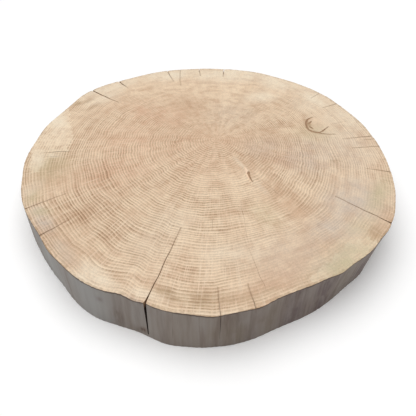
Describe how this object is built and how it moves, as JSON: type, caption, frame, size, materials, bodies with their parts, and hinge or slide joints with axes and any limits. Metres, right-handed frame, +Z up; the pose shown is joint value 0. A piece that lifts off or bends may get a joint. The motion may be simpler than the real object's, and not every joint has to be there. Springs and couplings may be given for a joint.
{
  "type": "oak wood slice",
  "caption": "Round cross-cut slice of debarked oak trunk with flat sanded faces, a wavy natural rim, radial drying checks and a knot.",
  "frame": {"origin": "middle of the underside, on the level surface it lies on", "axes": "+Z up through the thickness; -Y towards the side with the long drying check; +X to the right of it, towards the knot"},
  "size_m": [0.3997, 0.4037, 0.05],
  "materials": {
    "oak": "sawn and sanded end grain, unfinished, with debarked weathered grey-brown sides"
  },
  "bodies": {
    "root": {"oak_slice": "oak"}
  },
  "joints": []
}
